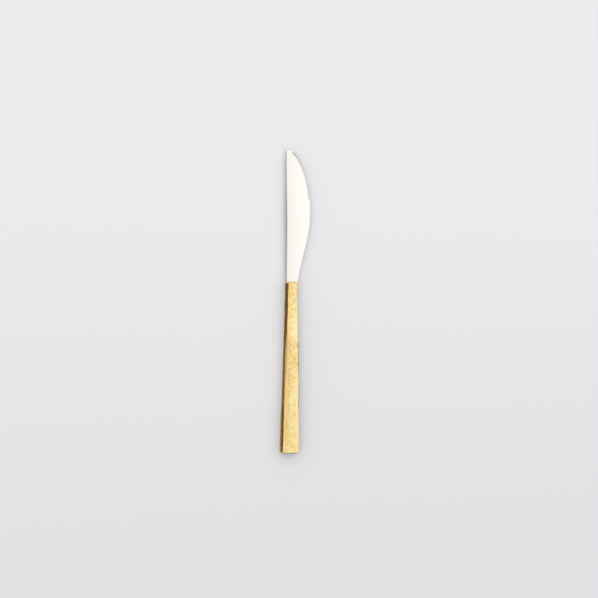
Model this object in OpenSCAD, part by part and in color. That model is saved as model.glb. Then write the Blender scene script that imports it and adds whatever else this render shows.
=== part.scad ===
// Table knife: a steel blade whose flat tang is bedded and pinned between the soldered halves
// of a flared solid brass handle. Lengths are in millimetres.
// X runs from the spine to the cutting edge, Y from the butt to the tip, Z up from the table.

/* [Blade] */
// Length of the blade from the handle to the tip
blade_length = 92; // [75:0.5:120]
// Width of the blade over its widest stretch
blade_width = 17.3; // [13:0.1:24]
// Width of the blade where it meets the handle
heel_width = 8.1; // [6:0.1:12]
// Distance from the handle to the widest stretch
belly_start = 48.5; // [38:0.5:58]
// Length of the widest stretch
belly_run = 3.5; // [1:0.5:10]
// Width of the flat end of the tip, beside the spine
tip_flat = 1.6; // [0.6:0.1:3]
// Clip of the corner between the spine and the tip
tip_clip = 0.4; // [0.1:0.05:0.5]
// Thickness of the spine at the handle
spine_thickness = 2; // [1.6:0.1:3]
// Thickness of the spine at the tip
tip_thickness = 1; // [0.7:0.05:1.5]
// Thickness of the cutting edge at the widest stretch
edge_thickness = 0.45; // [0.3:0.05:0.8]

/* [Serration] */
// Plain cutting edge between the widest stretch and the first tooth
plain_run = 6; // [2:0.5:15]
// Plain cutting edge between the last tooth and the tip
tip_run = 2; // [1:0.5:6]
// Pitch of the teeth along the edge
tooth_pitch = 2; // [1.4:0.1:4]
// Radius of the round grooves ground between the teeth
groove_radius = 0.7; // [0.5:0.05:1.2]
// Depth of the grooves in from the edge
groove_depth = 0.25; // [0.1:0.05:0.45]
// Slope of the grooves down towards the edge, in degrees
groove_slope = 32; // [20:1:45]

/* [Tang] */
// Length of the tang inside the handle
tang_length = 62; // [45:1:80]
// Width of the tang
tang_width = 4; // [3:0.1:4.6]
// Thickness of the tang
tang_thickness = 1.5; // [1:0.1:2.2]
// Length of the taper at the end of the tang
tang_taper = 6; // [3:0.5:9]

/* [Handle] */
// Length of the handle
handle_length = 118; // [100:0.5:140]
// Thickness of the handle, over both halves
handle_thickness = 7; // [5:0.1:10]
// Width of the handle at the blade
neck_width = 7; // [5.6:0.1:9]
// Width of the handle at the butt
butt_width = 12.4; // [9:0.1:16]
// How far the handle's spine side lies inside the blade's spine at the neck
neck_inset = 0.1; // [0:0.05:1]
// How far the handle's spine side stands out past the blade's spine at the butt
butt_outset = 3.9; // [1:0.1:6]
// Chamfer of the handle's long outer edges
edge_chamfer = 0.5; // [0.4:0.05:1]
// Chamfer of the handle's outer edges at the neck and the butt
end_chamfer = 0.35; // [0.15:0.05:0.35]
// Clip of the upright corners at the butt
corner_clip = 0.6; // [0.2:0.05:1.5]

/* [Joining] */
// Thickness of the solder film between the halves
seam_thickness = 0.1; // [0.05:0.01:0.3]
// Thickness of the bedding round the tang
bedding_gap = 0.15; // [0.1:0.01:0.3]
// Diameter of the handle pins
pin_diameter = 1.8; // [1.2:0.1:2.4]
// Clearance round a pin in its holes
pin_clearance = 0.03; // [0.02:0.01:0.1]
// Distance from the blade to the front pin
front_pin_setback = 12; // [8:0.5:25]
// Distance from the end of the tang to the middle pin
middle_pin_margin = 10; // [8:0.5:15]
// Distance from the butt to the rear pin
rear_pin_margin = 26.5; // [6:0.5:30]

/* [Hidden] */
$fn = 48;
// How far cuts run past the faces that they open
overrun = 1;
// Straight pieces in each curved stretch of the cutting edge
curve_steps = 28;
// Pull of the heel curve's ends, as shares of its width and height
heel_pull_shares = [0.07, 0.28];
belly_pull_share = 0.6;
// Pull of the tip curve's ends, as shares of its height and width
tip_rise_share = 0.5;
tip_round_share = 0.44;
// Width of the tang's end
tang_end_share = 0.5;

brass = [0.85, 0.70, 0.38];
pin_brass = [0.80, 0.64, 0.32];
steel = [0.90, 0.89, 0.87];
solder = [0.74, 0.71, 0.62];
resin = [0.42, 0.36, 0.26];

tang_centre = neck_inset + neck_width / 2;
front_pin_y = -front_pin_setback;
middle_pin_y = middle_pin_margin - tang_length;
rear_pin_y = rear_pin_margin - handle_length;

function bezier(p, t) =
    pow(1 - t, 3) * p[0] + 3 * pow(1 - t, 2) * t * p[1] + 3 * (1 - t) * pow(t, 2) * p[2] + pow(t, 3) * p[3];
function bezier_run(p, t) =
    pow(1 - t, 2) * (p[1] - p[0]) + 2 * (1 - t) * t * (p[2] - p[1]) + pow(t, 2) * (p[3] - p[2]);
function curve_points(p) = [for (i = [0:curve_steps]) bezier(p, i / curve_steps)];
function toward(from, to, distance) = from + distance * (to - from) / norm(to - from);

// Cutting edge: a swelling curve from the heel, a short straight belly, a round curve to the tip
belly_end = belly_start + belly_run;
heel_curve = [
    [heel_width, 0],
    [heel_width + heel_pull_shares[0] * (blade_width - heel_width), heel_pull_shares[1] * belly_start],
    [blade_width, belly_pull_share * belly_start],
    [blade_width, belly_start]
];
tip_curve = [
    [blade_width, belly_end],
    [blade_width, belly_end + tip_rise_share * (blade_length - belly_end)],
    [tip_flat + tip_round_share * (blade_width - tip_flat), blade_length],
    [tip_flat, blade_length]
];

// Distance along the tip curve, paired with the curve's own parameter
tip_points = curve_points(tip_curve);
tip_steps = [for (i = [1:curve_steps]) norm(tip_points[i] - tip_points[i - 1])];
tip_distances = [
    for (i = 0, run = 0; i <= curve_steps; run = run + (i < curve_steps ? tip_steps[i] : 0), i = i + 1)
        [run, i / curve_steps]
];
toothed_length = tip_distances[curve_steps][0] - plain_run - tip_run;
tooth_count = floor(toothed_length / tooth_pitch);

// Slopes of the blade's faces: thinner towards the tip, and thinner towards the edge
along_slope = (spine_thickness - tip_thickness) / 2 / blade_length;
across_slope = ((spine_thickness - edge_thickness) / 2 - along_slope * belly_end) / blade_width;
across_angle = atan(across_slope);
along_angle = -atan(along_slope * cos(across_angle));
function face_height(p) = spine_thickness / 2 - across_slope * p[0] - along_slope * p[1];
plate_thickness = max(spine_thickness, tang_thickness) + overrun;
plane_reach = blade_length + blade_width;

function tang_outline(mouth) = [
    [tang_centre - tang_width / 2, mouth],
    [tang_centre - tang_width / 2, tang_taper - tang_length],
    [tang_centre - tang_end_share * tang_width / 2, -tang_length],
    [tang_centre + tang_end_share * tang_width / 2, -tang_length],
    [tang_centre + tang_width / 2, tang_taper - tang_length],
    [tang_centre + tang_width / 2, mouth]
];
blade_outline = concat(
    tang_outline(0),
    curve_points(heel_curve),
    tip_points,
    [[tip_clip, blade_length], [0, blade_length - tip_clip], [0, 0]]
);

neck_spine = [neck_inset, 0];
neck_edge = [neck_inset + neck_width, 0];
butt_edge = [butt_width - butt_outset, -handle_length];
butt_spine = [-butt_outset, -handle_length];
handle_outline = [
    neck_spine,
    toward(butt_spine, neck_spine, corner_clip),
    toward(butt_spine, butt_edge, corner_clip),
    toward(butt_edge, butt_spine, corner_clip),
    toward(butt_edge, neck_edge, corner_clip),
    neck_edge
];

// Middle of the knife's footprint, which is the origin
handle_sides = [for (p = handle_outline) p[0]];
middle_x = (min(handle_sides) + max(blade_width, max(handle_sides))) / 2;
middle_y = (blade_length - handle_length) / 2;

// Moves the modelling origin, at the spine beside the handle and halfway up, to the footprint's middle
module on_table() {
    translate([-middle_x, -middle_y, handle_thickness / 2]) children();
}

module pin_hole(y) {
    translate([tang_centre, y, 0])
        cylinder(h = handle_thickness + overrun, d = pin_diameter + 2 * pin_clearance, center = true);
}

module pin_holes() {
    pin_hole(front_pin_y);
    pin_hole(middle_pin_y);
    pin_hole(rear_pin_y);
}

// Pocket that the halves leave for the tang and its bedding, open at the neck
module tang_pocket(mouth) {
    width = tang_width + 2 * bedding_gap;
    height = tang_thickness + 2 * bedding_gap;
    translate([tang_centre - width / 2, -tang_length - bedding_gap, -height / 2])
        cube([width, tang_length + bedding_gap + mouth, height]);
}

// Everything above the blade's sloping upper face, from the handle to the tip
module above_face() {
    intersection() {
        translate([0, 0, spine_thickness / 2])
            rotate([along_angle, across_angle, 0])
                translate([-plane_reach, -plane_reach, 0])
                    cube([2 * plane_reach, 2 * plane_reach, plate_thickness]);
        translate([-plane_reach, 0, -plate_thickness])
            cube([2 * plane_reach, plane_reach, 2 * plate_thickness]);
    }
}

// Everything above the flat upper face of the tang
module above_tang() {
    translate([tang_centre - tang_width / 2 - overrun, -tang_length - overrun, tang_thickness / 2])
        cube([tang_width + 2 * overrun, tang_length + overrun, plate_thickness]);
}

// One groove of the serration, ground down into the upper face and out through the edge
module groove(distance) {
    groove_run = 2 * spine_thickness / sin(groove_slope);
    t = lookup(distance, tip_distances);
    place = bezier(tip_curve, t);
    run = bezier_run(tip_curve, t);
    translate([place[0], place[1], -face_height(place)])
        rotate([0, 0, atan2(-run[0], run[1])])
            translate([-groove_depth, 0, 0])
                rotate([0, 90 + groove_slope, 0])
                    translate([-groove_radius, 0, 0])
                        cylinder(h = groove_run, r = groove_radius, center = true);
}

module blade() {
    color(steel) on_table() difference() {
        linear_extrude(plate_thickness, center = true) polygon(blade_outline);
        above_face();
        mirror([0, 0, 1]) above_face();
        above_tang();
        mirror([0, 0, 1]) above_tang();
        pin_hole(front_pin_y);
        pin_hole(middle_pin_y);
        for (i = [0:tooth_count - 1]) groove(plain_run + i * tooth_pitch + tooth_pitch / 2);
    }
}

// Slab laid aslant along an outer edge of the handle, which is on its left, cutting the chamfer
module chamfer(from, to, size) {
    run = to - from;
    depth = size / sqrt(2);
    translate([from[0], from[1], handle_thickness / 2])
        rotate([0, 0, atan2(run[1], run[0])])
            rotate([45, 0, 0])
                translate([-overrun, -depth - overrun, -depth])
                    cube([norm(run) + 2 * overrun, 2 * (depth + overrun), depth + overrun]);
}

module handle_half() {
    difference() {
        translate([0, 0, seam_thickness / 2])
            linear_extrude((handle_thickness - seam_thickness) / 2) polygon(handle_outline);
        chamfer(neck_spine, butt_spine, edge_chamfer);
        chamfer(butt_edge, neck_edge, edge_chamfer);
        chamfer(neck_edge, neck_spine, end_chamfer);
        chamfer(butt_spine, butt_edge, end_chamfer);
        tang_pocket(overrun);
        pin_holes();
    }
}

module upper_half() {
    color(brass) on_table() handle_half();
}

module lower_half() {
    color(brass) on_table() mirror([0, 0, 1]) handle_half();
}

module seam_solder() {
    color(solder) on_table() difference() {
        linear_extrude(seam_thickness, center = true) polygon(handle_outline);
        tang_pocket(overrun);
        pin_holes();
    }
}

module tang_bedding() {
    color(resin) on_table() difference() {
        tang_pocket(0);
        linear_extrude(tang_thickness, center = true) polygon(tang_outline(overrun));
        pin_hole(front_pin_y);
        pin_hole(middle_pin_y);
    }
}

module handle_pin(y) {
    color(pin_brass) on_table() translate([tang_centre, y, 0])
        cylinder(h = handle_thickness, d = pin_diameter, center = true);
}

module front_pin() {
    handle_pin(front_pin_y);
}

module middle_pin() {
    handle_pin(middle_pin_y);
}

module rear_pin() {
    handle_pin(rear_pin_y);
}

blade();
upper_half();
lower_half();
seam_solder();
tang_bedding();
front_pin();
middle_pin();
rear_pin();
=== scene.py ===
import math

import bmesh
import bpy
from mathutils import Matrix, Vector, noise
from mathutils.geometry import interpolate_bezier


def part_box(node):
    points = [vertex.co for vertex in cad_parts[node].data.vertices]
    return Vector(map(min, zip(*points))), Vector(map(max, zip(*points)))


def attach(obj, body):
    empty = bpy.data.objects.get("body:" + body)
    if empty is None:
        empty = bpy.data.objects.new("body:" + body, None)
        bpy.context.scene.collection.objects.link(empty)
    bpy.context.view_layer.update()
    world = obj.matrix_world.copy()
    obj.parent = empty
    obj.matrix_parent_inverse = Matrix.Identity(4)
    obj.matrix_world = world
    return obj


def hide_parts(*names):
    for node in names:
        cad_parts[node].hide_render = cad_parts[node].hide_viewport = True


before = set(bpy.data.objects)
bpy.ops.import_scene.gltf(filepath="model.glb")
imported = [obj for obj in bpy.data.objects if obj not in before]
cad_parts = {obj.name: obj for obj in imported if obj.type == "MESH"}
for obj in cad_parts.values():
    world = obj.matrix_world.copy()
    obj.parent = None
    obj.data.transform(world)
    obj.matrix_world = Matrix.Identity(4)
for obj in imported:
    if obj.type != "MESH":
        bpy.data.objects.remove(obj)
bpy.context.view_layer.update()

# Blade: one piece of stainless steel, forged, flat-ground to a wedge and satin polished lengthwise.
# Round grooves ground down into its upper side make the serration, and its flat tang is let into
# the handle, where two of the pins pass through it.
blade_low, blade_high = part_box("blade")
upper_low, upper_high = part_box("upper_half")
lower_low, lower_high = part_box("lower_half")
heel = Vector((blade_low.x, upper_high.y, (lower_low.z + upper_high.z) / 2))
blade_length = blade_high.y - heel.y
blade_width = blade_high.x - heel.x
heel_width = 0.0081
belly_start = 0.0485
belly_end = 0.052
tip_flat = 0.0016
tip_radius = 0.0005
spine_thickness = 0.002
tip_thickness = 0.001
edge_thickness = 0.00045
spine_rounding = 0.00025
edge_rounding = 0.00008
rounding_steps = 3
heel_pull_shares = (0.07, 0.28)
belly_pull_share = 0.6
tip_rise_share = 0.5
tip_round_share = 0.44
heel_curve_points = 60
tip_curve_points = 160
tip_corner_steps = 6
blade_crease = 25
tolerance = 1e-6

pin_places = {}
for node in ("front_pin", "middle_pin", "rear_pin"):
    pin_low, pin_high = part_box(node)
    pin_places[node] = (pin_low + pin_high) / 2
pin_x = pin_places["front_pin"].x
pin_radius = 0.0009
pin_clearance = 0.00003
pin_sides = 48
tang_width = 0.004
tang_left = pin_x - heel.x - tang_width / 2
tang_right = tang_left + tang_width
tang_middle = (tang_left + tang_right) / 2
tang_thickness = 0.0015
tang_length = heel.y - blade_low.y
tang_taper = 0.006
tang_end_share = 0.5

plain_run = 0.006
tip_run = 0.002
tooth_pitch = 0.002
groove_radius = 0.0007
groove_depth = 0.00025
groove_slope = math.radians(32)
groove_length = 2 * spine_thickness / math.sin(groove_slope)
groove_sides = 64
groove_slot = 1

along_slope = (spine_thickness - tip_thickness) / 2 / blade_length
across_slope = ((spine_thickness - edge_thickness) / 2 - along_slope * belly_end) / blade_width


def face_height(x, y):
    """Half the blade's thickness at a place measured from the spine and from the handle."""
    return spine_thickness / 2 - across_slope * x - along_slope * y


def make_piece(name, bm):
    """Turns a finished bmesh into an object with its faces pointing outwards."""
    bmesh.ops.recalc_face_normals(bm, faces=bm.faces)
    mesh = bpy.data.meshes.new(name)
    bm.to_mesh(mesh)
    bm.free()
    piece = bpy.data.objects.new(name, mesh)
    bpy.context.scene.collection.objects.link(piece)
    return piece


def make_rod(radius, length, sides, place):
    """A closed round rod, as a bmesh, turned and placed by a matrix."""
    bm = bmesh.new()
    bmesh.ops.create_cone(
        bm, cap_ends=True, segments=sides, radius1=radius, radius2=radius, depth=length, matrix=place
    )
    return bm


def round_edges(bm, edges, rounding, steps):
    """Rounds edges of a bmesh."""
    bmesh.ops.bevel(
        bm, geom=edges, offset=rounding, offset_type="OFFSET", segments=steps, profile=0.5,
        affect="EDGES", material=-1, clamp_overlap=True,
    )


def cut_away(piece, cutters):
    """Cuts closed solids out of a closed piece one by one, and removes the cutters."""
    for cutter in cutters:
        cut = piece.modifiers.new("cut", "BOOLEAN")
        cut.operation = "DIFFERENCE"
        cut.solver = "MANIFOLD"
        cut.material_mode = "INDEX"
        cut.object = cutter
    evaluated = piece.evaluated_get(bpy.context.evaluated_depsgraph_get())
    whole = piece.data
    piece.data = bpy.data.meshes.new_from_object(evaluated)
    piece.modifiers.clear()
    bpy.data.meshes.remove(whole)
    for cutter in cutters:
        bpy.data.objects.remove(cutter)


def smooth_shade(piece, crease):
    """Smooth shading that keeps edges sharper than a crease in degrees crisp, and broad faces flat."""
    piece.data.polygons.foreach_set("use_smooth", [True] * len(piece.data.polygons))
    piece.data.set_sharp_from_angle(angle=math.radians(crease))
    flatten = piece.modifiers.new("flat_faces", "WEIGHTED_NORMAL")
    flatten.keep_sharp = True
    flatten.weight = 100


def flat(*points):
    """Points in the blade's middle plane."""
    return [Vector((x, y, 0)) for x, y in points]


heel_curve = interpolate_bezier(
    *flat(
        (heel_width, 0),
        (heel_width + heel_pull_shares[0] * (blade_width - heel_width), heel_pull_shares[1] * belly_start),
        (blade_width, belly_pull_share * belly_start),
        (blade_width, belly_start),
    ),
    heel_curve_points,
)
tip_curve = interpolate_bezier(
    *flat(
        (blade_width, belly_end),
        (blade_width, belly_end + tip_rise_share * (blade_length - belly_end)),
        (tip_flat + tip_round_share * (blade_width - tip_flat), blade_length),
        (tip_flat, blade_length),
    ),
    tip_curve_points,
)
tip_turns = [math.pi / 2 * step / tip_corner_steps for step in range(tip_corner_steps + 1)]
tip_corner = flat(*(
    (tip_radius * (1 - math.sin(turn)), blade_length - tip_radius * (1 - math.cos(turn)))
    for turn in tip_turns
))
outline = flat((0, 0), (tang_left, 0), (tang_right, 0)) + heel_curve + tip_curve + tip_corner

bm = bmesh.new()
bottom = bm.faces.new([bm.verts.new(place) for place in outline])
top = bmesh.ops.extrude_face_region(bm, geom=[bottom])
top_verts = {v for v in top["geom"] if isinstance(v, bmesh.types.BMVert)}
for v in bm.verts:
    height = face_height(v.co.x, v.co.y)
    v.co.z = height if v in top_verts else -height


def starts_tang(face):
    """Whether a face is the part of the blade's heel that the tang grows from."""
    at_heel = all(abs(v.co.y) < tolerance for v in face.verts)
    in_width = all(tang_left - tolerance < v.co.x < tang_right + tolerance for v in face.verts)
    return len(face.verts) == 4 and at_heel and in_width


tang_end = [f for f in bm.faces if starts_tang(f)]
for y, width_share in ((0, 1), (tang_taper - tang_length, 1), (-tang_length, tang_end_share)):
    stretch = bmesh.ops.extrude_face_region(bm, geom=tang_end)["geom"]
    bmesh.ops.delete(bm, geom=tang_end, context="FACES_ONLY")
    tang_end = [f for f in stretch if isinstance(f, bmesh.types.BMFace)]
    for v in (v for v in stretch if isinstance(v, bmesh.types.BMVert)):
        height = math.copysign(tang_thickness / 2, v.co.z)
        v.co = (tang_middle + (v.co.x - tang_middle) * width_share, y, height)


def rim_edges(bm, of_spine):
    """The long upper and lower edges of the blade, on the spine or round the tip and cutting edge."""
    rim = []
    for e in bm.edges:
        a, b = (v.co for v in e.verts)
        on_spine = max(a.x, b.x) < tolerance
        past_heel = min(a.y, b.y) > -tolerance and max(a.y, b.y) > tolerance
        if past_heel and a.z * b.z > 0 and on_spine == of_spine:
            rim.append(e)
    return rim


for of_spine, rounding in ((True, spine_rounding), (False, edge_rounding)):
    round_edges(bm, rim_edges(bm, of_spine), rounding, rounding_steps)
bmesh.ops.translate(bm, verts=bm.verts, vec=heel)
blade = make_piece("satin_blade", bm)

tip_steps = [(b - a).length for a, b in zip(tip_curve, tip_curve[1:])]
tooth_count = math.floor((sum(tip_steps) - plain_run - tip_run) / tooth_pitch)
grooves = []
for tooth in range(tooth_count):
    to_go = plain_run + (tooth + 0.5) * tooth_pitch
    step = 0
    while to_go > tip_steps[step]:
        to_go -= tip_steps[step]
        step += 1
    run = tip_curve[step + 1] - tip_curve[step]
    place = tip_curve[step] + run.normalized() * to_go
    groove_place = (
        Matrix.Translation(heel + Vector((place.x, place.y, -face_height(place.x, place.y))))
        @ Matrix.Rotation(math.atan2(-run.x, run.y), 4, "Z")
        @ Matrix.Translation((-groove_depth, 0, 0))
        @ Matrix.Rotation(math.pi / 2 + groove_slope, 4, "Y")
        @ Matrix.Translation((-groove_radius, 0, 0))
    )
    bm = make_rod(groove_radius, groove_length, groove_sides, groove_place)
    for f in bm.faces:
        f.material_index = groove_slot
    grooves.append(make_piece("groove_cutter", bm))


def pin_cutters():
    """The three pin holes, as closed rods to cut from what the pins pass through."""
    hole_radius = pin_radius + pin_clearance
    length = 2 * (upper_high.z - lower_low.z)
    return [
        make_piece("pin_cutter", make_rod(hole_radius, length, pin_sides, Matrix.Translation(pin)))
        for pin in pin_places.values()
    ]


# Lengths in the finishes are in millimetres, apart from the depth of a relief, which is in metres.
# A grain has its repeats per millimetre along X, Y and Z, then its fineness. A step has where a
# change begins and ends, then the values before and after it, or else 0 and 1.
mm = 1000.0
grain_range = (0.3, 0.7)


def add_node(tree, kind, settings=None, sockets=None):
    """Adds a shader node, sets its properties, and fills or links its sockets."""
    made = tree.nodes.new(kind)
    for name, value in (settings or {}).items():
        setattr(made, name, value)
    for name, value in (sockets or {}).items():
        if isinstance(value, bpy.types.NodeSocket):
            tree.links.new(value, made.inputs[name])
        else:
            made.inputs[name].default_value = value
    return made


def new_finish(name, metallic):
    """An empty material with a shader, and its coordinates in millimetres of the knife's own frame."""
    material = bpy.data.materials.new(name)
    material.use_nodes = True
    tree = material.node_tree
    shader = tree.nodes["Principled BSDF"]
    shader.inputs["Metallic"].default_value = metallic
    place = add_node(tree, "ShaderNodeTexCoord").outputs["Object"]
    in_mm = add_node(
        tree, "ShaderNodeVectorMath", {"operation": "SCALE"}, {"Vector": place, "Scale": mm}
    ).outputs["Vector"]
    return material, tree, shader, in_mm


def axes(tree, place):
    """A place's X, Y and Z."""
    return add_node(tree, "ShaderNodeSeparateXYZ", None, {"Vector": place}).outputs


def grain(tree, place, stretch, fineness):
    """Noise between 0 and 1, with its repeats per millimetre along X, Y and Z."""
    stretched = add_node(
        tree, "ShaderNodeVectorMath", {"operation": "MULTIPLY"}, {0: place, 1: stretch}
    ).outputs["Vector"]
    return add_node(
        tree, "ShaderNodeTexNoise", None, {"Vector": stretched, "Scale": 1.0, "Detail": fineness}
    ).outputs["Fac"]


def reckon(tree, operation, first, *others):
    """Works out two or more numbers, one after another, with maths nodes."""
    for value in others:
        first = add_node(
            tree, "ShaderNodeMath", {"operation": operation}, {0: first, 1: value}
        ).outputs["Value"]
    return first


def plus(tree, *values):
    """The sum of two or more numbers."""
    return reckon(tree, "ADD", *values)


def minus(tree, first, second):
    """A number less another."""
    return reckon(tree, "SUBTRACT", first, second)


def times(tree, *values):
    """The product of two or more numbers."""
    return reckon(tree, "MULTIPLY", *values)


def between(tree, value, low, high, to_low=0.0, to_high=1.0):
    """A smooth step of a value from one range to another."""
    return add_node(
        tree, "ShaderNodeMapRange", {"interpolation_type": "SMOOTHSTEP"},
        {"Value": value, "From Min": low, "From Max": high, "To Min": to_low, "To Max": to_high},
    ).outputs["Result"]


def blend_colour(tree, share, first, second):
    """Two colours mixed by the second one's share, on the sockets that the node keeps for colours."""
    mix = add_node(tree, "ShaderNodeMix", {"data_type": "RGBA"}, {0: share})
    for socket, colour in ((6, first), (7, second)):
        if isinstance(colour, bpy.types.NodeSocket):
            tree.links.new(colour, mix.inputs[socket])
        else:
            mix.inputs[socket].default_value = (*colour, 1.0)
    return mix.outputs[2]


def surface(tree, shader, colour, roughness, relief, depth):
    """Gives a shader its colour, its roughness, and a fine relief with its depth in metres."""
    bump = add_node(tree, "ShaderNodeBump", None, {"Height": relief, "Distance": depth, "Strength": 1.0})
    tree.links.new(colour, shader.inputs["Base Color"])
    tree.links.new(roughness, shader.inputs["Roughness"])
    tree.links.new(bump.outputs["Normal"], shader.inputs["Normal"])


steel_bright = (0.955, 0.925, 0.865)
# A darker copy of the steel, for the polishing streaks and for the shade painted along the spine side.
steel_streaked_and_shaded = (0.80, 0.765, 0.71)
# A shaded copy of the steel, painted on the blade's underside.
steel_underside_shade = (0.60, 0.58, 0.545)
steel_dark_spine = (0.42, 0.39, 0.36)
# Soil and painted shade at the foot of the handle's step.
heel_soil_and_shade = (0.60, 0.45, 0.20)
fine_line_grain = ((7.0, 0.03, 7.0), 2.0)
broad_line_grain = ((0.8, 0.008, 0.8), 2.0)
fine_line_share = 0.4
broad_line_share = 0.6
streak_tone_step = (0.35, 0.65, 0.12, 0.0)
spine_painted_shade_step = (1.0, 12.0, 0.45, 0.0)
underside_shade_step = (-0.3, 0.1, 1.0, 0.0)
dark_spine_start_step = (0.0, 40.0, 0.0, 1.0)
dark_spine_end_step = (45.0, 80.0, 1.0, 0.0)
dark_spine_width_step = (0.1, 0.4, 1.0, 0.0)
soil_and_shade_step = (0.8, 1.6, 0.5, 0.0)
satin_roughness = (0.2, 0.3)
satin_relief = 0.000003
blade_steel, tree, shader, in_mm = new_finish("satin_blade_steel", metallic=1.0)
place = axes(tree, in_mm)
from_spine = minus(tree, place["X"], heel.x * mm)
from_heel = minus(tree, place["Y"], heel.y * mm)
above_middle = minus(tree, place["Z"], heel.z * mm)
fine_lines = grain(tree, in_mm, *fine_line_grain)
broad_lines = grain(tree, in_mm, *broad_line_grain)
lines = plus(tree, times(tree, fine_lines, fine_line_share), times(tree, broad_lines, broad_line_share))
# Painted shade: the steel is darker within about 12 mm of the spine, and it is streaked at random by the
# polishing lines.
shade = plus(tree, between(tree, lines, *streak_tone_step), between(tree, from_spine, *spine_painted_shade_step))
satin = blend_colour(tree, shade, steel_bright, steel_streaked_and_shaded)
# Painted shade: below the middle plane the steel is a darker copy, which also darkens the shadow on the
# floor beneath the blade.
satin = blend_colour(tree, between(tree, above_middle, *underside_shade_step), satin, steel_underside_shade)
# The spine wall, and the top's first fraction of a millimetre beside it, are darker, most of all partway
# along the blade.
dark_spine = times(
    tree,
    between(tree, from_heel, *dark_spine_start_step),
    between(tree, from_heel, *dark_spine_end_step),
    between(tree, from_spine, *dark_spine_width_step),
)
satin = blend_colour(tree, dark_spine, satin, steel_dark_spine)
# Soil and painted shade: a brownish band on the blade just in front of the handle, in the corner at the
# foot of its step.
soil_and_shade = times(tree, between(tree, from_heel, *soil_and_shade_step), fine_lines)
satin = blend_colour(tree, soil_and_shade, satin, heel_soil_and_shade)
rough = between(tree, lines, *grain_range, *satin_roughness)
surface(tree, shader, satin, rough, fine_lines, satin_relief)

# The grooves' steel is painted dark, as shade in the serration's hollows, and it is mottled by the wheel's
# marks.
groove_shade_pale = (0.44, 0.425, 0.40)
groove_shade_dark = (0.19, 0.18, 0.17)
wheel_grain = ((1.5, 1.5, 9.0), 4.0)
groove_roughness = (0.4, 0.55)
groove_relief = 0.000004
groove_steel, tree, shader, in_mm = new_finish("shaded_ground_groove_steel", metallic=1.0)
wheel_marks = grain(tree, in_mm, *wheel_grain)
ground = blend_colour(tree, between(tree, wheel_marks, *grain_range), groove_shade_dark, groove_shade_pale)
rough = between(tree, wheel_marks, *grain_range, *groove_roughness)
surface(tree, shader, ground, rough, wheel_marks, groove_relief)
for finish in (blade_steel, groove_steel):
    blade.data.materials.append(finish)
cut_away(blade, grooves + pin_cutters())
smooth_shade(blade, blade_crease)
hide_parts("blade")
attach(blade, "root")

# Tang bedding: the resin that fills the pocket round the tang, poured in when the blade was set.
# It is sealed inside the handle, and only its front end lies behind the blade's shoulder.
resin_dark = (0.10, 0.075, 0.045)
resin_pale = (0.20, 0.155, 0.095)
resin_grain = ((1.2, 1.2, 1.2), 4.0)
resin_roughness = (0.45, 0.65)
resin_relief = 0.00003


def grained_finish(name, metallic, marks_grain, dark, pale, roughness, relief):
    """A finish whose colour, roughness and relief all follow one grain."""
    material, tree, shader, in_mm = new_finish(name, metallic)
    marks = grain(tree, in_mm, *marks_grain)
    rough = between(tree, marks, *grain_range, *roughness)
    surface(tree, shader, blend_colour(tree, marks, dark, pale), rough, marks, relief)
    return material


bedding_resin = grained_finish(
    "set_bedding_resin", 0.0, resin_grain, resin_dark, resin_pale, resin_roughness, resin_relief
)
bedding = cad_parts["tang_bedding"]
bedding.data.materials.clear()
bedding.data.materials.append(bedding_resin)

# Handle halves: two solid brass bars, milled for the tang, soldered face to face, then hammered and
# draw-filed as one bar. The broad faces are satin bright, and the narrow sides keep a dark patina.
neck_inset = 0.0001
neck_width = 0.007
butt_width = 0.0124
butt_outset = 0.0039
handle_length = upper_high.y - upper_low.y
handle_thickness = upper_high.z - lower_low.z
bedding_gap = 0.00015
arris_rounding = 0.0004
butt_allowance = 0.0007
butt_skew = 0.0005
spine_swells = (
    (0.0, 0.00022), (0.03, 0.0001), (0.08, -0.00003), (0.34, -0.00005), (0.42, 0.0),
    (0.66, -0.00004), (0.72, 0.00005), (0.8, 0.0004), (0.86, 0.00032), (1.0, 0.00022),
)
edge_swells = (
    (0.0, 0.0002), (0.08, 0.0001), (0.15, -0.00012), (0.22, 0.00005), (0.34, 0.0001),
    (0.4, 0.0003), (0.67, 0.00025), (0.73, 0.00003), (0.9, 0.0), (1.0, -0.00025),
)
mesh_step = 0.00045
shortest_split = 3 * mesh_step
aligned_share = 0.99
dent_size = 0.0023
dent_depth = 0.00009
beaten_middle = 0.55
beaten_swing = 0.45
beaten_shift = Vector((3, 1, 7))
wave_size = 0.011
wave_depth = 0.00012
wobble_size = 0.0035
wobble_depth = 0.00022
wobble_reach = 0.0011
wobble_shift = Vector((5, 2, 9))
pin_flat = 0.0012
pin_fade = 0.0026
nick_depth = 0.00035
nick_length = 0.0006
nick_reach = 0.0008
nick_places = (0.0428, 0.0444, 0.0565, 0.0795, 0.0822, 0.0851)
facet_depth = 0.0005
facet_reach = 0.0018
facet_shares = (
    (0.0, 0.0), (0.28, 0.0), (0.33, 0.7), (0.4, 1.0), (0.7, 0.9), (0.78, 0.2), (1.0, 0.18),
)
slice_tolerance = 1e-7
brass_crease = 40


def side_places(y):
    """Where the handle's spine side and edge side are at a place along it."""
    share = (heel.y - y) / handle_length
    left = heel.x + neck_inset - share * (neck_inset + butt_outset)
    return left, left + neck_width + share * (butt_width - neck_width)


def follow(stops, y):
    """A value that follows stops along the handle, from the neck to the butt, at a place along it."""
    along = min(1.0, max(0.0, (heel.y - y) / handle_length))
    for (start, first), (end, last) in zip(stops, stops[1:]):
        if along <= end:
            return first + (last - first) * (along - start) / (end - start)


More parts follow.
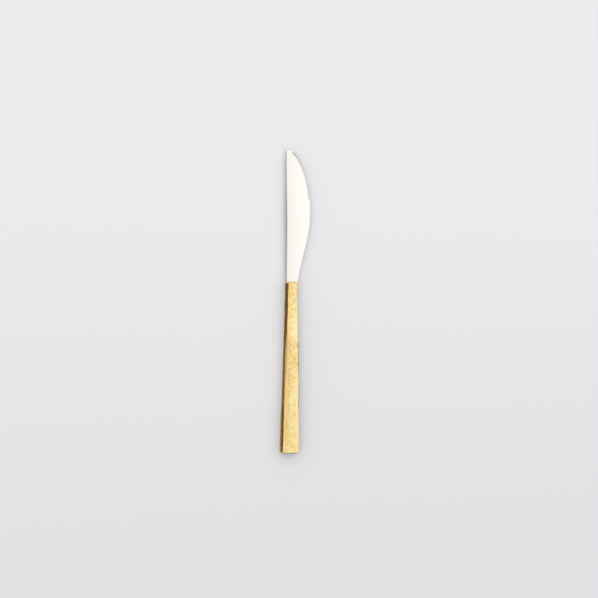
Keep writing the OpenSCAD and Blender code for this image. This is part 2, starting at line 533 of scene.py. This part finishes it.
def split_edges(bm, axis):
    """Divides the edges that run along an axis into steps of about the mesh step."""
    runs = []
    for e in bm.edges:
        run = e.verts[1].co - e.verts[0].co
        if abs(run[axis]) > aligned_share * run.length and run.length > shortest_split:
            runs.append(e)
    longest = max(e.calc_length() for e in runs)
    bmesh.ops.subdivide_edges(bm, edges=runs, cuts=round(longest / mesh_step), use_grid_fill=True)


def drift(place):
    """Smooth noise between 0 and 1."""
    return 0.5 + 0.5 * noise.noise(place)


def dented(place):
    """How far into a hammer dent a place on the handle is, from 0 on a ridge to about 1."""
    nearest = noise.voronoi(place / dent_size)[0][0]
    beaten = beaten_middle + beaten_swing * noise.noise(place / wave_size + beaten_shift)
    return beaten * max(0.0, 1 - nearest * nearest)


def hammered(place):
    """How deep the hammer and the file have gone at a place on the handle, clear of the pins."""
    wave = wave_depth * drift(place / wave_size)
    around_pins = min((place.xy - pin.xy).length for pin in pin_places.values())
    clear = min(1.0, max(0.0, (around_pins - pin_flat) / (pin_fade - pin_flat)))
    return (dent_depth * dented(place) + wave) * clear


def worn(place):
    """What an arris has lost near a place: a slow wobble, nicks, and a facet rubbed on the spine side."""
    left, right = side_places(place.y)
    from_top = upper_high.z - place.z
    across = min(place.x - left, right - place.x)
    upright = min(place.z - lower_low.z, from_top)
    reach = max(0.0, 1 - max(across, upright) / wobble_reach)
    lost = wobble_depth * reach * drift(place / wobble_size + wobble_shift)
    rubbed = max(0.0, 1 - max(place.x - left, from_top) / facet_reach)
    lost += facet_depth * rubbed * follow(facet_shares, place.y)
    from_arris = math.hypot(right - place.x, from_top)
    for nick in nick_places:
        along = (heel.y - nick - place.y) / nick_length
        lost += nick_depth * math.exp(-along * along) * max(0.0, 1 - from_arris / nick_reach)
    return lost


def hammered_bar():
    """The whole handle as one flared bar, with round arrises, hammer marks and worn edges."""
    bm = bmesh.new()
    bmesh.ops.create_cube(bm, size=1)
    bmesh.ops.scale(bm, vec=(butt_width, handle_length, handle_thickness), verts=bm.verts)
    round_edges(bm, bm.edges[:], arris_rounding, rounding_steps)
    for axis in (1, 0, 2):
        split_edges(bm, axis)
    for v in bm.verts:
        length = handle_length + butt_allowance + butt_skew * v.co.x / butt_width
        y = heel.y + (v.co.y / handle_length - 0.5) * length
        left, right = side_places(y)
        left -= follow(spine_swells, y)
        right += follow(edge_swells, y)
        v.co = (left + (v.co.x / butt_width + 0.5) * (right - left), y, v.co.z + heel.z)
    bm.normal_update()
    hollow = bm.verts.layers.float.new("hollow")
    for v in bm.verts:
        v[hollow] = dented(v.co)
    for v, lost in [(v, hammered(v.co) + worn(v.co)) for v in bm.verts]:
        v.co -= v.normal * lost
    return bm


def slice_bar(bm, low, high):
    """Keeps the layer of the bar between two heights and closes it."""
    for height, up in ((low, -1), (high, 1)):
        cut = bmesh.ops.bisect_plane(
            bm, geom=bm.verts[:] + bm.edges[:] + bm.faces[:], dist=slice_tolerance,
            plane_co=(0, 0, height), plane_no=(0, 0, up), clear_outer=True,
        )
        rim = [e for e in cut["geom_cut"] if isinstance(e, bmesh.types.BMEdge)]
        if rim:
            bmesh.ops.contextual_create(bm, geom=rim)


def pocket_cutters():
    """The tang's pocket and the pin holes, to cut from the handle's layers."""
    bm = bmesh.new()
    width = tang_width + 2 * bedding_gap
    length = tang_length + 2 * bedding_gap
    size = Matrix.Diagonal((width, length, tang_thickness + 2 * bedding_gap, 1))
    middle = Matrix.Translation((pin_x, heel.y + bedding_gap - length / 2, heel.z))
    bmesh.ops.create_cube(bm, size=1, matrix=middle @ size)
    return [make_piece("pocket_cutter", bm)] + pin_cutters()


brass_tarnished = (0.50, 0.335, 0.14)
brass_deep = (0.79, 0.55, 0.21)
brass_gold = (0.93, 0.73, 0.325)
brass_pale = (0.925, 0.795, 0.44)
brass_glance = (0.95, 0.8, 0.58)
mottle_grain = ((0.5, 0.5, 0.5), 3.0)
fleck_grain = ((1.1, 1.1, 1.1), 3.0)
dot_grain = ((1.7, 1.7, 1.7), 2.0)
speck_grain = ((4.0, 4.0, 4.0), 4.0)
coarse_file_grain = ((0.1, 1.5, 0.1), 2.0)
fine_file_grain = ((0.15, 6.0, 0.15), 2.0)
coarse_file_share = 0.6
fine_file_share = 0.4
filed_shares = (
    (0.17, 0.1), (0.21, 1.0), (0.3, 1.0), (0.34, 0.1), (0.52, 0.1), (0.56, 1.0), (0.66, 1.0), (0.7, 0.1),
)
polish_shares = (
    (0.0, 0.0), (0.025, 0.05), (0.05, 0.5), (0.31, 0.62), (0.36, 0.08), (0.5, 0.1), (0.56, 0.28),
    (0.74, 0.38), (0.8, 0.26), (0.92, 0.3), (1.0, 0.48),
)
deepest = 0.3
spine_tone_step = (0.0, 0.55, 0.0, 0.38)
across_tone = 0.25
# A painted highlight along the edge side of the broad faces.
edge_highlight_step = (0.7, 1.0, 0.0, 0.35)
spot_range = (0.35, 0.65)
mottle_tone = 0.28
fleck_tone = 0.46
dot_tone = 0.3
# Painted shade in the hammer dents, and painted highlights on the ridges between them.
dent_shade_step = (0.0, 0.8, 0.3, -0.45)
filed_tone = 1.5
gold_step = (-0.1, 0.6)
pale_step = (0.5, 1.1)
tarnish_shares = (
    (0.0, 0.0), (0.31, 0.02), (0.36, 0.26), (0.52, 0.28), (0.6, 0.22), (0.9, 0.24), (1.0, 0.15),
)
tarnish_start_step = (-0.6, 0.3)
tarnish_end_step = (1.4, 4.6, 1.0, 0.0)
dull_shares = (
    (0.0, 0.0), (0.28, 0.0), (0.31, 0.8), (0.42, 0.8), (0.52, 0.75), (0.58, 0.25), (0.7, 0.2), (0.78, 0.0),
)
dull_start_step = (0.1, 0.5, 0.25, 1.0)
dull_end_step = (0.6, 1.8, 1.0, 0.0)
brass_roughness = (0.24, 0.36)
speck_height = 0.5
brass_relief = 0.00002

patina_dark = (0.092, 0.042, 0.010)
patina_brown = (0.30, 0.175, 0.048)
patina_worn = (0.60, 0.47, 0.25)
patina_roughness = 0.12
patina_shares = (
    (0.0, 1.0), (0.3, 1.0), (0.36, 0.85), (0.52, 0.8), (0.58, 0.3), (0.74, 0.3), (0.82, 0.7),
)
patina_step = (-0.2, 0.25)
ragged_depth = 0.8
bare_edge = -0.05
bare_spine = -0.07
bare_facet = 2.35
seam_step = (-0.4, 0.4)
dark_neck_rim = 0.25
dark_butt_rim = 0.4
end_arris_start_step = (0.05, 0.15)
end_arris_end_step = (0.5, 0.8, 1.0, 0.0)
worn_shares = ((0.0, 0.0), (0.32, 0.0), (0.38, 0.35), (0.64, 0.35), (0.8, 0.9), (1.0, 0.9))
worn_raggedness = (1.2, -1.2)
worn_height_step = (1.2, 3.6, 1.0, 0.0)
worn_width_step = (0.2, 0.9, 1.0, 0.0)


def along_handle(tree, share, stops):
    """A value that follows stops along the handle, from the neck to the butt."""
    ramp = add_node(tree, "ShaderNodeValToRGB", None, {"Fac": share})
    elements = ramp.color_ramp.elements
    while len(elements) < len(stops):
        elements.new(0.5)
    for element, (at, value) in zip(elements, stops):
        element.position = at
        element.color = (value, value, value, 1)
    return ramp.outputs["Color"]


handle_brass, tree, shader, in_mm = new_finish("hammered_handle_brass", metallic=1.0)
shader.inputs["Specular Tint"].default_value = (*brass_glance, 1.0)
place = axes(tree, in_mm)
above_middle = minus(tree, place["Z"], heel.z * mm)
from_neck = minus(tree, heel.y * mm, place["Y"])
along = reckon(tree, "DIVIDE", from_neck, handle_length * mm)
neck_sides = [side * mm for side in side_places(heel.y)]
butt_sides = [side * mm for side in side_places(heel.y - handle_length)]
spine_side, edge_side = (
    plus(tree, times(tree, along, butt - neck), neck) for neck, butt in zip(neck_sides, butt_sides)
)
from_spine = minus(tree, place["X"], spine_side)
from_edge = minus(tree, edge_side, place["X"])
across = reckon(tree, "DIVIDE", from_spine, plus(tree, from_spine, from_edge))

# The broad faces: deep to pale brass, by how each stretch was polished, filed and handled, with painted
# shade in the hammer dents, painted highlights on their ridges, and a painted highlight along the edge
# side.
mottle = grain(tree, in_mm, *mottle_grain)
flecks = grain(tree, in_mm, *fleck_grain)
dots = grain(tree, in_mm, *dot_grain)
specks = grain(tree, in_mm, *speck_grain)
coarse_file = times(tree, grain(tree, in_mm, *coarse_file_grain), coarse_file_share)
fine_file = times(tree, grain(tree, in_mm, *fine_file_grain), fine_file_share)
file_marks = minus(tree, plus(tree, coarse_file, fine_file), 0.5)
filed = times(tree, file_marks, along_handle(tree, along, filed_shares))
hollow = add_node(tree, "ShaderNodeAttribute", {"attribute_name": "hollow"}).outputs["Fac"]
tone = plus(
    tree,
    minus(tree, along_handle(tree, along, polish_shares), deepest),
    between(tree, across, *spine_tone_step),
    times(tree, across, across_tone),
    between(tree, across, *edge_highlight_step),
    between(tree, mottle, *spot_range, -mottle_tone, mottle_tone),
    between(tree, flecks, *spot_range, -fleck_tone, fleck_tone),
    between(tree, dots, *spot_range, -dot_tone, dot_tone),
    between(tree, hollow, *dent_shade_step),
    times(tree, filed, filed_tone),
)
bright = blend_colour(tree, between(tree, tone, *gold_step), brass_deep, brass_gold)
bright = blend_colour(tree, between(tree, tone, *pale_step), bright, brass_pale)
tarnish = times(
    tree,
    between(tree, from_spine, *tarnish_start_step),
    between(tree, from_spine, *tarnish_end_step),
    along_handle(tree, along, tarnish_shares),
)
dull = times(
    tree,
    between(tree, from_spine, *dull_start_step),
    between(tree, from_spine, *dull_end_step),
    along_handle(tree, along, dull_shares),
)
bright = blend_colour(tree, reckon(tree, "MAXIMUM", tarnish, dull), bright, brass_tarnished)

# The narrow sides: dark patina as far as the arrises, which are worn bright, as is the rubbed facet.
off_middle = reckon(tree, "MAXIMUM", above_middle, times(tree, above_middle, -1.0))
ragged = times(tree, minus(tree, flecks, 0.5), ragged_depth)
down_side = plus(tree, minus(tree, handle_thickness / 2 * mm, off_middle), ragged)
to_butt = minus(tree, (handle_length + butt_allowance) * mm - dark_butt_rim, from_neck)
to_butt = plus(tree, to_butt, times(tree, minus(tree, across, 0.5), butt_skew * mm))
from_end = reckon(tree, "MINIMUM", plus(tree, from_neck, dark_neck_rim), to_butt)
facet = times(tree, along_handle(tree, along, facet_shares), between(tree, above_middle, *seam_step))
bare_side = plus(tree, times(tree, facet, bare_facet), bare_spine)
dark = []
for inside, bare in ((from_spine, bare_side), (from_edge, bare_edge)):
    past_arris = minus(tree, down_side, reckon(tree, "MINIMUM", inside, from_end))
    dark.append(between(tree, minus(tree, past_arris, bare), *patina_step))
to_end = reckon(tree, "MINIMUM", from_neck, to_butt)
end_arris = times(
    tree, between(tree, to_end, *end_arris_start_step), between(tree, to_end, *end_arris_end_step)
)
side = times(tree, reckon(tree, "MAXIMUM", *dark), minus(tree, 1.0, end_arris))
thin = times(tree, between(tree, mottle, *grain_range), along_handle(tree, along, patina_shares))
ragged_height = plus(tree, place["Z"], between(tree, flecks, *grain_range, *worn_raggedness))
low_down = times(
    tree,
    between(tree, ragged_height, *worn_height_step),
    along_handle(tree, along, worn_shares),
    between(tree, from_spine, *worn_width_step),
)
brown = blend_colour(tree, low_down, blend_colour(tree, thin, patina_dark, patina_brown), patina_worn)
surface(
    tree, shader, blend_colour(tree, side, bright, brown),
    plus(tree, between(tree, mottle, *grain_range, *brass_roughness), times(tree, side, patina_roughness)),
    plus(tree, filed, times(tree, specks, speck_height)), brass_relief,
)

handle_layers = {
    "upper_half": ("hammered_upper_half", upper_low.z, upper_high.z + arris_rounding),
    "lower_half": ("hammered_lower_half", lower_low.z - arris_rounding, lower_high.z),
}
whole_bar = hammered_bar()
for node, (name, low, high) in handle_layers.items():
    bm = whole_bar.copy()
    slice_bar(bm, low, high)
    half = make_piece(name, bm)
    half.data.materials.append(handle_brass)
    cut_away(half, pocket_cutters())
    smooth_shade(half, brass_crease)
    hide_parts(node)
    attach(half, "root")

# Solder seam: the thin film of silver solder that joins the halves round the tang's pocket.
# It was filed flush with the sides, where it shows as a pale hairline.
solder_sink = 0.00002
solder_pale = (0.62, 0.56, 0.42)
solder_dull = (0.36, 0.30, 0.19)
solder_grain = ((1.0, 0.4, 3.0), 4.0)
solder_roughness = (0.3, 0.5)
solder_relief = 0.00001
silver_solder = grained_finish(
    "filed_silver_solder", 1.0, solder_grain, solder_dull, solder_pale, solder_roughness, solder_relief
)
bm = whole_bar
slice_bar(bm, lower_high.z, upper_low.z)
for v in bm.verts:
    left, right = side_places(v.co.y)
    v.co.x += math.copysign(solder_sink, (left + right) / 2 - v.co.x)
solder = make_piece("solder_line", bm)
solder.data.materials.append(silver_solder)
cut_away(solder, pocket_cutters())
smooth_shade(solder, brass_crease)
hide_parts("seam_solder")
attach(solder, "root")

# Pins: three brass rods driven through the halves, two of them through the tang, then peened a
# little into their holes and filed flush, so that only faint rings show on the broad faces.
pin_rounding = 0.00003
pin_rounding_steps = 2
pin_dish = 0.00002
pin_dish_rim = pin_radius / 2
pin_gold = (0.90, 0.72, 0.35)
pin_deep = (0.82, 0.60, 0.25)
pin_grain = ((0.4, 6.0, 0.4), 3.0)
pin_roughness = (0.28, 0.42)
pin_relief = 0.00001
pin_brass = grained_finish(
    "filed_pin_brass", 1.0, pin_grain, pin_deep, pin_gold, pin_roughness, pin_relief
)


def rod_ends(bm):
    """The two round ends of a rod."""
    return [f for f in bm.faces if len(f.verts) > 4]


for node, pin in pin_places.items():
    bm = make_rod(pin_radius, handle_thickness, pin_sides, Matrix.Translation((pin.x, pin.y, heel.z)))
    round_edges(bm, [e for f in rod_ends(bm) for e in f.edges], pin_rounding, pin_rounding_steps)
    bmesh.ops.inset_individual(bm, faces=rod_ends(bm), thickness=pin_dish_rim, depth=-pin_dish)
    rod = make_piece("flush_" + node, bm)
    smooth_shade(rod, brass_crease)
    rod.data.materials.append(pin_brass)
    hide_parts(node)
    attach(rod, "root")

# Floor: a plain pale sheet that the knife lies on, matt, with a painted fall of light that makes it a
# little lighter towards the tip.
# It is not part of the knife, and it lies a hair lower so that the two never share a plane.
floor_reach = 25
floor_gap = 0.00002
floor_near = (0.803, 0.803, 0.817)
floor_far = (0.886, 0.886, 0.902)
floor_step = (-210, 110)
floor_roughness = 0.9
floor_gloss = 0.1
bm = bmesh.new()
bmesh.ops.create_grid(bm, x_segments=1, y_segments=1, size=floor_reach)
bmesh.ops.translate(bm, verts=bm.verts, vec=(0, 0, lower_low.z - floor_gap))
floor = make_piece("pale_floor", bm)
pale_sheet, tree, shader, in_mm = new_finish("pale_sheet", metallic=0.0)
# Painted light: the sheet's colour grows lighter towards the tip.
painted_light_falloff = between(tree, axes(tree, in_mm)["Y"], *floor_step)
tree.links.new(blend_colour(tree, painted_light_falloff, floor_near, floor_far), shader.inputs["Base Color"])
shader.inputs["Roughness"].default_value = floor_roughness
shader.inputs["Specular IOR Level"].default_value = floor_gloss
floor.data.materials.append(pale_sheet)

# Light: a bright, soft surround as beside a large window. It is strongest overhead, and a little
# stronger from the spine side and the tip than from the edge side and the butt.
light_level = 0.3
light_gains = {"X": -0.25, "Y": 0.24, "Z": 0.96}
least_light = 0.03
world = bpy.data.worlds.new("light_tent")
world.use_nodes = True
bpy.context.scene.world = world
tree = world.node_tree
background = tree.nodes["Background"]
towards = axes(tree, add_node(tree, "ShaderNodeTexCoord").outputs["Generated"])
level = light_level
for axis, gain in light_gains.items():
    level = plus(tree, times(tree, towards[axis], gain), level)
level = reckon(tree, "MAXIMUM", level, least_light)
background.inputs["Color"].default_value = (1, 1, 1, 1)
tree.links.new(level, background.inputs["Strength"])
bpy.context.scene.view_settings.view_transform = "Standard"

# Camera: above the knife and a little to its spine side, with the tip at the top of the picture.
# The frame's width is what the picture spans at the place that the camera is aimed at.
camera_tilt = math.radians(20.35)
camera_distance = 0.82
frame_width = 0.41586
sensor_width = 36
clip_start = 0.01
aim = Vector((0.0015945, 0.00142, 0.005838))
camera_data = bpy.data.cameras.new("camera")
camera_data.sensor_width = sensor_width
camera_data.lens = sensor_width * camera_distance / frame_width
camera_data.clip_start = clip_start
camera = bpy.data.objects.new("camera", camera_data)
bpy.context.scene.collection.objects.link(camera)
right = Vector((math.cos(camera_tilt), 0, math.sin(camera_tilt)))
up = Vector((0, 1, 0))
back = right.cross(up)
turn = Matrix((right, up, back)).transposed().to_4x4()
camera.matrix_world = Matrix.Translation(aim + back * camera_distance) @ turn
bpy.context.scene.camera = camera
